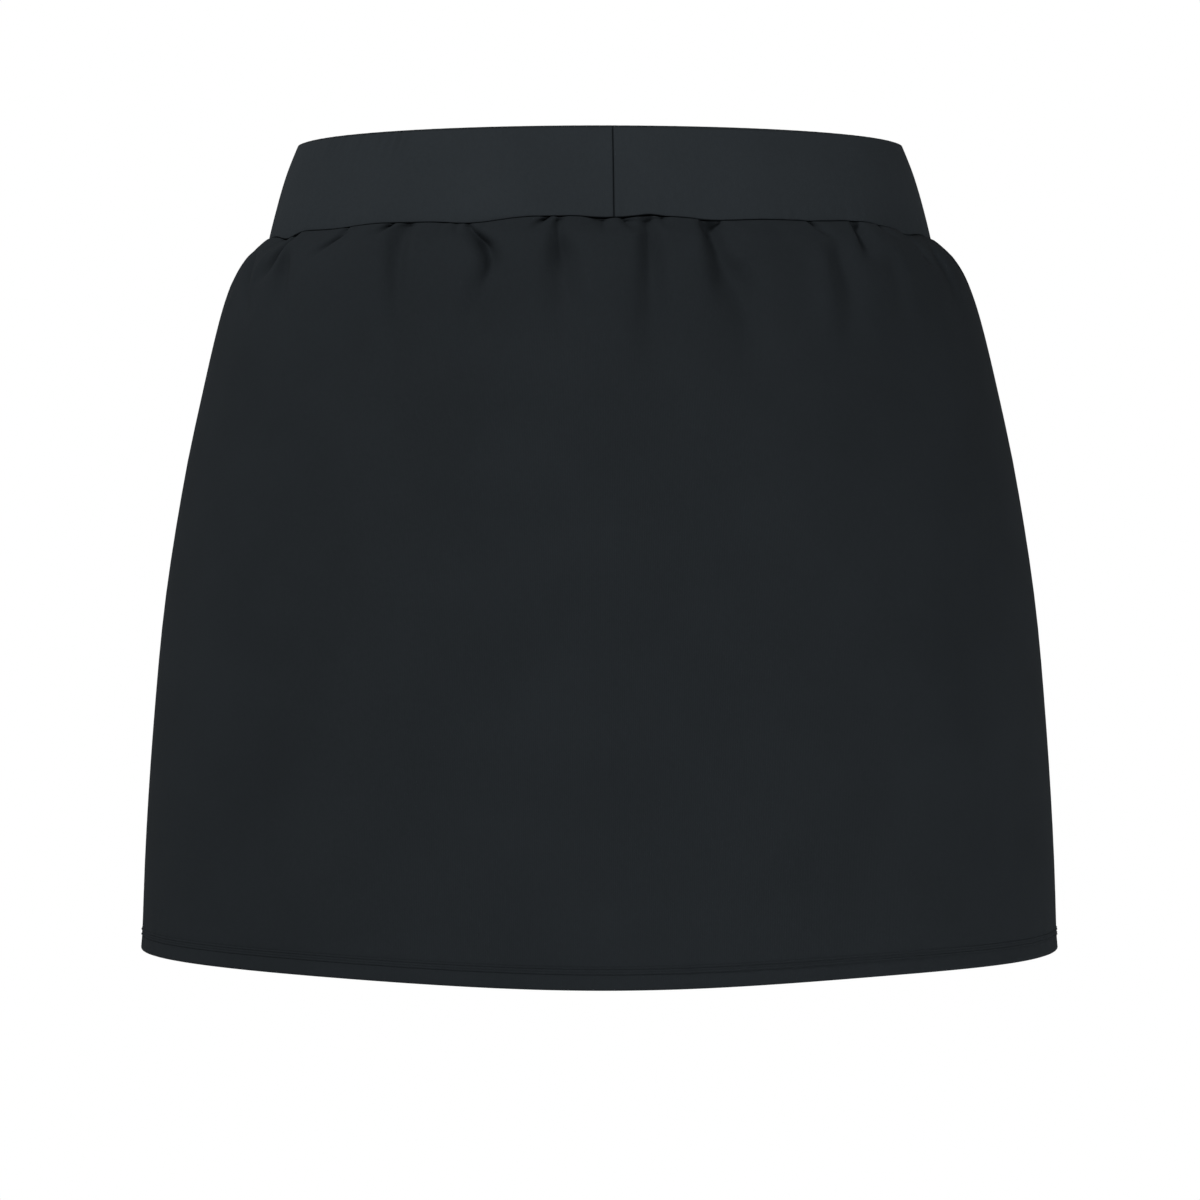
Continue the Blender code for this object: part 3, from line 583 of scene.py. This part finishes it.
def build_band(material):
    """The waistband as a ring: each column is a flat loop, up the outer face's line and back down
    inside."""
    seam = band_seam_turn()
    fine = np.array([0, 0.2, 0.4, 0.6, 0.85, 1.15, 1.5, 1.9, 2.4]) * MM / BAND_HALF_DEPTH
    coarse = np.linspace(seam + fine[-1], seam + 2 * math.pi - fine[-1], 560)[1:-1]
    turns = np.concatenate([seam + fine, coarse, seam + 2 * math.pi - fine[:0:-1]])
    bend = np.linspace(0, math.pi / 2, 5)[1:-1]
    outer_share = np.linspace(BAND_EDGE / BAND_HEIGHT, 1 - BAND_EDGE / BAND_HEIGHT, 30)
    inner_share = np.linspace(1 - BAND_EDGE / BAND_HEIGHT, 1.4 * MM / BAND_HEIGHT, 12)
    foot = BAND_EDGE * np.sin(bend)
    foot_out = BAND_EDGE * (1 - np.cos(bend))
    top = np.linspace(math.pi, 0, 9)[1:-1]
    share = np.concatenate(
        [
            outer_share,
            1 + (foot - BAND_EDGE) / BAND_HEIGHT,
            [1, 1],
            1 + (foot[::-1] - BAND_EDGE) / BAND_HEIGHT,
            inner_share,
            (1.4 * MM - 1.4 * MM * np.sin(top)) / BAND_HEIGHT,
        ]
    )
    middle = BAND_WALL / 2
    out = np.concatenate(
        [
            np.zeros(30),
            -foot_out,
            [-BAND_EDGE, BAND_EDGE - BAND_WALL],
            foot_out[::-1] - BAND_WALL,
            np.full(12, -BAND_WALL),
            middle * np.cos(top) - middle,
        ]
    )
    share, out, turn = share[:, None], out[:, None], turns[None, :]
    x, y, _ = oval(BAND_SECTIONS, turn, share * BAND_HEIGHT)
    away_x, away_y = np.cos(turn) / BAND_HALF_WIDTH, -np.sin(turn) / BAND_HALF_DEPTH
    away = np.stack(np.broadcast_arrays(away_x, away_y), axis=-1)
    away /= np.linalg.norm(away, axis=-1, keepdims=True)
    facing_out = smooth_step(1 + out / middle)
    inner_ripple = 0.12 * MM * waves(turn, 23, 6, 80, 200) * (1 - facing_out)
    moved = out + band_relief(turn, share) * facing_out + inner_ripple
    points = np.stack(
        np.broadcast_arrays(
            x + moved * away[..., 0],
            y + moved * away[..., 1],
            BAND_TOP + share * (seam_height(turn) - BAND_TOP),
        ),
        axis=-1,
    )
    steps = np.hypot(np.diff(share[:, 0]) * BAND_HEIGHT, np.diff(out[:, 0]))
    length = np.concatenate([[0], np.cumsum(steps)])
    length = np.append(length, length[-1] + 0.5 * MM)
    width = np.append(turns, seam + 2 * math.pi) * BAND_UV_RADIUS
    uv = np.stack(np.broadcast_arrays(width[None, :], -length[:, None]), axis=-1)
    piece = add_grid("waistband_cloth", points, uv, material, closed_columns=True, closed_rows=True)
    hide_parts("waistband")
    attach(piece, "root")
    return piece


# ---- inner shorts ----


def even_steps(points, count):
    """The line through the points again, as evenly spaced points."""
    along = np.concatenate([[0.0], np.cumsum(np.linalg.norm(np.diff(points, axis=0), axis=1))])
    at = np.linspace(0.0, along[-1], count)
    return np.stack([np.interp(at, along, points[:, axis]) for axis in range(3)], axis=1)


def crotch_seam(end, count):
    """The seam between the halves: a quarter ellipse from the crotch, then up centre front or centre
    back to the waist."""
    full = WAIST_SEAM + WAIST_SEAM_RISE[end] - SHORTS_DROP - CROTCH
    height = np.linspace(0.0, 1.0, 600) ** 2 * full
    reach = column_at(SHORTS_SECTIONS, end, full - height) * (-1 if end == "back" else 1)
    climb = np.minimum(height / CROTCH_CURVE_HEIGHT, 1.0)
    swing = np.sqrt(1.0 - (1.0 - climb) ** 2)
    y = CROTCH_Y + (reach - CROTCH_Y) * swing
    return even_steps(np.stack([np.full(600, 0.25 * MM), y, CROTCH + height], axis=1), count)


def shorts_edge(columns):
    """The loop that a half hangs from, from the crotch up the front, round the waist and down the back,
    and the direction in which the cloth leaves it: down the seam and fanned out sideways, more so
    towards the crotch."""
    quarter = columns // 4
    front = crotch_seam("front", quarter + 1)
    back = crotch_seam("back", quarter + 1)[::-1]
    turn = np.linspace(-math.pi / 2, math.pi / 2, 2 * quarter + 1)
    turn[0] += 0.0017
    turn[-1] -= 0.0017
    x, y, _ = oval(SHORTS_SECTIONS, turn, 0.0)
    waist = np.stack([x, y, even_seam_height(turn) - SHORTS_DROP], axis=1)
    edge = np.concatenate([front[:-1], waist, back[1:-1]])
    column = np.arange(len(edge))
    near_crotch = np.clip(1.0 - np.minimum(column, len(edge) - column) / quarter, 0, 1)
    share = smooth_step(near_crotch)[:, None]
    down_seam = np.roll(edge, 1, axis=0) - np.roll(edge, -1, axis=0)
    down_seam *= np.where(column <= quarter, 1.0, -1.0)[:, None]
    down_seam /= np.linalg.norm(down_seam, axis=1, keepdims=True)
    heading = down_seam * (1.0 - share) + np.array([0.0, 0.0, -1.0]) * share
    heading /= np.linalg.norm(heading, axis=1, keepdims=True)
    fan = np.radians(SEAM_FAN_TOP + (SEAM_FAN_CROTCH - SEAM_FAN_TOP) * near_crotch)[:, None]
    seam_leave = heading * np.cos(fan) + np.array([1.0, 0.0, 0.0]) * np.sin(fan)
    turn = np.clip(-math.pi / 2 + math.pi * (column - quarter) / (2 * quarter), -math.pi / 2, math.pi / 2)
    at_waist = np.stack(oval(SHORTS_SECTIONS, turn, 0.0)[:2], axis=1)
    at_hips = np.stack(oval(SHORTS_SECTIONS, turn, 30 * MM)[:2], axis=1)
    sideways = 30 * MM * math.tan(math.radians(SEAM_FAN_TOP)) * np.sin(turn) ** 8
    waist_leave = np.column_stack([at_hips - at_waist, np.full(len(edge), -30 * MM)])
    waist_leave[:, 0] += sideways
    leaves = np.where(near_crotch[:, None] > 0, seam_leave, waist_leave)
    return edge, leaves / np.linalg.norm(leaves, axis=1, keepdims=True)


def shorts_face(edge, leaves, share):
    """Points of a half's outer face: a cubic curve from each point of its top edge to the leg hem's
    oval."""
    around = np.arange(len(edge)) / len(edge) * 2 * math.pi
    hem = np.column_stack(
        [
            LEG_CENTRE_X - LEG_HALF_WIDTH * np.cos(around),
            LEG_CENTRE_Y + LEG_HALF_DEPTH * np.sin(around),
            np.full(len(edge), LEG_HEM),
        ]
    )
    length = np.linalg.norm(hem - edge, axis=1)[:, None]
    share = np.asarray(share)[:, None, None]
    square, cube = share**2, share**3
    return (
        (2 * cube - 3 * square + 1) * edge
        + (cube - 2 * square + share) * leaves * length
        + (3 * square - 2 * cube) * hem
        + (cube - square) * np.array([0.0, 0.0, -1.0]) * length
    )


def build_shorts(name, node, hand, material):
    """One half of the inner shorts, with its top edge rolled in and its leg hem turned up inside."""
    edge, leaves = shorts_edge(192)
    leg = LEG_TURN_UP / 0.25
    plain = [np.linspace(0.004, 0.08, 8), np.linspace(0.1, 0.9, 44), np.linspace(0.905, 0.997, 26)]
    plain = np.concatenate(plain)
    share = np.concatenate([[0, 0, 0.001], plain, [1.0, 1.0, 0.997, 0.99, 0.97, 0.95, 1 - leg]])
    fold = 0.7 * MM
    out = np.concatenate([[-1.6 * MM, -0.7 * MM, -0.2 * MM], np.zeros(len(plain))])
    out = np.concatenate([out, [-0.3 * fold, -1.7 * fold], np.full(5, -2 * fold)])
    points = shorts_face(edge, leaves, share)
    ahead = shorts_face(edge, leaves, np.minimum(share + 0.002, 1.0))
    behind = shorts_face(edge, leaves, np.maximum(share - 0.002, 0.0))
    along = np.roll(points, -1, axis=1) - np.roll(points, 1, axis=1)
    normal = np.cross(ahead - behind, along)
    normal /= np.linalg.norm(normal, axis=-1, keepdims=True)
    centre = np.array([LEG_CENTRE_X, LEG_CENTRE_Y, 0])
    if np.sum(normal[-20] * (points[-20] - centre)) < 0:
        normal = -normal
    up = (points[:, :, 2] - LEG_HEM) * np.ones_like(share)[:, None]
    dents = sum(np.exp(-(((up - row) / (0.7 * MM)) ** 2)) for row in LEG_NEEDLE_ROWS)
    outward = out[:, None] - 0.2 * MM * dents
    points = points + outward[..., None] * normal
    points[..., 0] = np.maximum(points[..., 0], 0.15 * MM)
    length = np.concatenate([[0], np.cumsum(np.abs(np.diff(share)) * 0.27 + np.abs(np.diff(out)))])
    width = np.arange(len(edge) + 1) / len(edge) * 0.56
    uv = np.stack(np.broadcast_arrays(width[None, :] * hand, -length[:, None]), axis=-1)
    points = points * np.array([hand, 1.0, 1.0])
    if hand < 0:
        points, uv = points[:, ::-1], uv[:, ::-1]
    piece = add_grid(name, points, uv, material, closed_columns=True)
    give_thickness(piece, SHORTS_CLOTH)
    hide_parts(node)
    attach(piece, "root")
    return piece


# ---- stitches ----


def add_stitches(name, centres, along, away, half_length, radius, material):
    """Short threads in one mesh: each is a six-sided capsule, half_length by radius, laid along its row
    and half sunk in."""
    sides, rings = 6, np.radians([-50, 0, 50])
    around = np.arange(sides) / sides * 2 * math.pi
    lengthwise = np.sin(rings)[:, None] * np.ones(sides)
    swell = np.cos(rings)[:, None] ** 0.6
    template = np.stack([lengthwise, swell * np.cos(around), swell * np.sin(around)], axis=-1).reshape(-1, 3)
    template = np.concatenate([template, [[-1, 0, 0], [1, 0, 0]]])
    across = np.cross(along, away)
    points = (
        centres[:, None, :]
        + template[None, :, 0:1] * along[:, None, :] * half_length
        + template[None, :, 1:2] * across[:, None, :] * radius
        + template[None, :, 2:3] * away[:, None, :] * radius
    )
    start_pole, stop_pole = len(template) - 2, len(template) - 1
    last_ring = (len(rings) - 1) * sides
    capsule = []
    for side in range(sides):
        beside = (side + 1) % sides
        capsule.append([side, beside, start_pole])
        capsule.append([last_ring + beside, last_ring + side, stop_pole])
        for ring in range(0, last_ring, sides):
            capsule.append([ring + side, ring + sides + side, ring + sides + beside, ring + beside])
    faces = []
    for first in range(0, len(centres) * len(template), len(template)):
        faces += [[first + corner for corner in face] for face in capsule]
    mesh = bpy.data.meshes.new(name)
    mesh.from_pydata(points.reshape(-1, 3).tolist(), [], faces)
    mesh.materials.append(material)
    mesh.validate()
    mesh.shade_smooth()
    piece = bpy.data.objects.new(name, mesh)
    bpy.context.scene.collection.objects.link(piece)
    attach(piece, "root")
    return piece


def unit(vectors):
    """The vectors at length 1."""
    return vectors / np.linalg.norm(vectors, axis=-1, keepdims=True)


def skirt_stitches(material):
    """The hem's needle threads outside, in two rows, and its looper threads inside, slanting between
    the rows."""
    fine = np.linspace(0, 2 * math.pi, 4001)
    line = skirt_face(fine, np.full(4001, SKIRT_LENGTH - NEEDLE_ROWS[1]))
    along = np.concatenate([[0], np.cumsum(np.linalg.norm(np.diff(line, axis=0), axis=1))])
    count = int(along[-1] / STITCH_PITCH)
    turn = np.interp((np.arange(count) + 0.5) * along[-1] / count, along, fine)
    clear = np.minimum(turn % math.pi, math.pi - turn % math.pi) * 0.2 > 1.5 * MM
    turn = turn[clear]
    centres, lines, aways = [], [], []
    for row in NEEDLE_ROWS:
        drop = np.full(len(turn), SKIRT_LENGTH - row)
        normal = normals_of(skirt_face, turn, drop)
        centres.append(skirt_face(turn, drop) + (SKIRT_CLOTH + 0.03 * MM) * normal)
        lines.append(unit(skirt_face(turn + 0.004, drop) - skirt_face(turn - 0.004, drop)))
        aways.append(normal)
    outer = add_stitches(
        "skirt_hem_stitches",
        np.concatenate(centres),
        np.concatenate(lines),
        np.concatenate(aways),
        0.4 * STITCH_PITCH,
        THREAD,
        material,
    )
    half = 0.5 * STITCH_PITCH / 0.18
    low = np.full(len(turn), SKIRT_LENGTH - NEEDLE_ROWS[0])
    high = np.full(len(turn), SKIRT_LENGTH - NEEDLE_ROWS[1])
    inside = -(2 * HEM_FOLD - SKIRT_CLOTH + 0.05 * MM)
    ends = []
    for offset, drop in ((-half, low), (0.0, high), (half, low)):
        at = turn + offset * 0.5
        ends.append(skirt_face(at, drop) + inside * normals_of(skirt_face, at, drop))
    starts = np.concatenate([ends[0], ends[1]])
    stops = np.concatenate([ends[1], ends[2]])
    inner = add_stitches(
        "skirt_hem_looper_threads",
        (starts + stops) / 2,
        unit(stops - starts),
        -np.concatenate([normals_of(skirt_face, turn, low)] * 2),
        float(np.mean(np.linalg.norm(stops - starts, axis=1))) * 0.55,
        THREAD * 1.3,
        material,
    )
    return outer, inner


# ---- materials ----


def knit(name, colour, roughness, wale, course, depth, speckle, mottle=0.06):
    """Fine jersey: V-shaped loops in rows as bump, worked out on the cloth's own UV, with a soft
    speckle and slow, slight changes of shade."""
    material = bpy.data.materials.new(name)
    material.use_nodes = True
    nodes, links = material.node_tree.nodes, material.node_tree.links
    shader = nodes["Principled BSDF"]
    shader.inputs["Roughness"].default_value = roughness
    shader.inputs["Specular IOR Level"].default_value = 0.04

    def math_node(operation, first, second=None, third=None):
        node = nodes.new("ShaderNodeMath")
        node.operation = operation
        for socket, value in zip(node.inputs, (first, second, third)):
            if isinstance(value, (int, float)):
                socket.default_value = value
            elif value is not None:
                links.new(value, socket)
        return node.outputs[0]

    uv = nodes.new("ShaderNodeUVMap")
    uv.uv_map = "cloth"
    parts = nodes.new("ShaderNodeSeparateXYZ")
    links.new(uv.outputs["UV"], parts.inputs[0])
    wales = math_node("MULTIPLY", parts.outputs["X"], 1.0 / wale)
    leg = math_node("PINGPONG", wales, 0.5)
    courses = math_node("MULTIPLY", parts.outputs["Y"], 1.0 / course)
    slanted = math_node("MULTIPLY_ADD", leg, 1.5, courses)
    loops = math_node("SINE", math_node("MULTIPLY", slanted, 2 * math.pi))
    groove = math_node("SINE", math_node("MULTIPLY", leg, math.pi))
    height = math_node("MULTIPLY_ADD", loops, 0.3, groove)

    place = nodes.new("ShaderNodeTexCoord")
    grain = nodes.new("ShaderNodeTexNoise")
    grain.inputs["Scale"].default_value = 620.0
    grain.inputs["Detail"].default_value = 2.0
    links.new(place.outputs["Object"], grain.inputs["Vector"])
    cloud = nodes.new("ShaderNodeTexNoise")
    cloud.inputs["Scale"].default_value = 22.0
    cloud.inputs["Detail"].default_value = 2.0
    links.new(place.outputs["Object"], cloud.inputs["Vector"])

    loops_bump = nodes.new("ShaderNodeBump")
    loops_bump.inputs["Strength"].default_value = 0.5
    loops_bump.inputs["Distance"].default_value = depth
    links.new(height, loops_bump.inputs["Height"])
    grain_bump = nodes.new("ShaderNodeBump")
    grain_bump.inputs["Strength"].default_value = 0.5
    grain_bump.inputs["Distance"].default_value = speckle
    links.new(grain.outputs["Fac"], grain_bump.inputs["Height"])
    links.new(loops_bump.outputs["Normal"], grain_bump.inputs["Normal"])
    links.new(grain_bump.outputs["Normal"], shader.inputs["Normal"])

    cloudy = math_node("MULTIPLY", cloud.outputs["Fac"], 0.6)
    shade = math_node("MULTIPLY_ADD", grain.outputs["Fac"], 0.4, cloudy)
    ramp = nodes.new("ShaderNodeValToRGB")
    ramp.color_ramp.elements[0].position = 0.35
    ramp.color_ramp.elements[0].color = (*(c * (1 - mottle) for c in colour), 1)
    ramp.color_ramp.elements[1].position = 0.65
    ramp.color_ramp.elements[1].color = (*(c * (1 + mottle) for c in colour), 1)
    links.new(shade, ramp.inputs["Fac"])
    links.new(ramp.outputs["Color"], shader.inputs["Base Color"])
    return material


def thread_material(name, colour):
    """Polyester thread: a fine twist as bump, a little glossier than the cloth."""
    material = bpy.data.materials.new(name)
    material.use_nodes = True
    nodes, links = material.node_tree.nodes, material.node_tree.links
    shader = nodes["Principled BSDF"]
    shader.inputs["Base Color"].default_value = (*colour, 1)
    shader.inputs["Roughness"].default_value = 0.6
    shader.inputs["Specular IOR Level"].default_value = 0.2
    place = nodes.new("ShaderNodeTexCoord")
    twist = nodes.new("ShaderNodeTexNoise")
    twist.inputs["Scale"].default_value = 3000.0
    links.new(place.outputs["Object"], twist.inputs["Vector"])
    bump = nodes.new("ShaderNodeBump")
    bump.inputs["Strength"].default_value = 0.4
    bump.inputs["Distance"].default_value = 0.05 * MM
    links.new(twist.outputs["Fac"], bump.inputs["Height"])
    links.new(bump.outputs["Normal"], shader.inputs["Normal"])
    return material


# ---- studio ----


def plain(name, colour, roughness):
    material = bpy.data.materials.new(name)
    material.use_nodes = True
    shader = material.node_tree.nodes["Principled BSDF"]
    shader.inputs["Base Color"].default_value = (*colour, 1)
    shader.inputs["Roughness"].default_value = roughness
    return material


def add_floor():
    """A pale round floor, as far below the skort as a wearer's feet."""
    around = np.linspace(0, 2 * math.pi, 97)[:-1]
    mesh = bpy.data.meshes.new("floor")
    rim = np.column_stack([2.4 * np.cos(around), 2.4 * np.sin(around), np.full(96, -0.95)])
    mesh.from_pydata(rim.tolist(), [], [list(range(96))])
    mesh.materials.append(plain("floor", (0.9, 0.9, 0.9), 0.9))
    floor = bpy.data.objects.new("floor", mesh)
    bpy.context.scene.collection.objects.link(floor)


def add_light(name, place, aim, size, power):
    light = bpy.data.lights.new(name, "AREA")
    light.shape = "DISK"
    light.size = size
    light.energy = power
    holder = bpy.data.objects.new(name, light)
    holder.location = place
    holder.rotation_euler = (Vector(aim) - Vector(place)).to_track_quat("-Z", "Y").to_euler()
    bpy.context.scene.collection.objects.link(holder)


def add_world(seen, lit):
    """White all round: seen at full white, and lighting the skort more softly."""
    world = bpy.data.worlds.new("studio")
    world.use_nodes = True
    bpy.context.scene.world = world
    nodes, links = world.node_tree.nodes, world.node_tree.links
    background = nodes["Background"]
    background.inputs["Color"].default_value = (1, 1, 1, 1)
    path = nodes.new("ShaderNodeLightPath")
    strength = nodes.new("ShaderNodeMapRange")
    strength.inputs["To Min"].default_value = lit
    strength.inputs["To Max"].default_value = seen
    links.new(path.outputs["Is Camera Ray"], strength.inputs["Value"])
    links.new(strength.outputs["Result"], background.inputs["Strength"])


def add_camera():
    """Straight behind the wearer, at the height of the skort's middle."""
    camera = bpy.data.cameras.new("camera")
    camera.sensor_width = 36.0
    camera.lens = 133.3
    holder = bpy.data.objects.new("camera", camera)
    holder.location = (0.0, -2.0, -0.172)
    aim = Vector((0.0, 0.0, -0.1838))
    holder.rotation_euler = (aim - holder.location).to_track_quat("-Z", "Y").to_euler()
    bpy.context.scene.collection.objects.link(holder)
    bpy.context.scene.camera = holder


def main():
    skirt_knit = knit(
        "skirt_jersey_knit",
        colour=(0.0157, 0.0188, 0.0215),
        roughness=0.90,
        wale=0.62 * MM,
        course=0.55 * MM,
        depth=0.05 * MM,
        speckle=0.05 * MM,
    )
    # The band is the same jersey as the skirt, but its colour is lighter: painted light standing in for the
    # top light that its up-tilted face catches.
    band_knit_painted_light = knit(
        "band_jersey_knit_painted_light",
        colour=(0.0225, 0.0270, 0.0308),
        roughness=0.90,
        wale=0.62 * MM,
        course=0.55 * MM,
        depth=0.05 * MM,
        speckle=0.16 * MM,
    )
    shorts_knit = knit(
        "shorts_jersey_knit",
        colour=(0.0145, 0.0172, 0.0200),
        roughness=0.80,
        wale=0.5 * MM,
        course=0.42 * MM,
        depth=0.04 * MM,
        speckle=0.03 * MM,
    )
    thread = thread_material("thread", (0.020, 0.024, 0.028))

    band = build_band(band_knit_painted_light)
    back = build_skirt("skirt_back_cloth", "skirt_back", 0.0, skirt_knit)
    front = build_skirt("skirt_front_cloth", "skirt_front", math.pi, skirt_knit)
    right = build_shorts("shorts_right_cloth", "shorts_right", 1.0, shorts_knit)
    left = build_shorts("shorts_left_cloth", "shorts_left", -1.0, shorts_knit)
    outer, inner = skirt_stitches(thread)

    add_floor()
    add_light("key", (-1.58, -1.42, 1.97), (0, 0, -0.15), 0.6, 56.0)
    add_light("fill", (1.36, -1.20, -0.74), (0, 0, -0.34), 0.5, 12.8)
    add_world(1.0, 0.33)
    add_camera()
    bpy.context.scene.view_settings.view_transform = "Standard"


main()
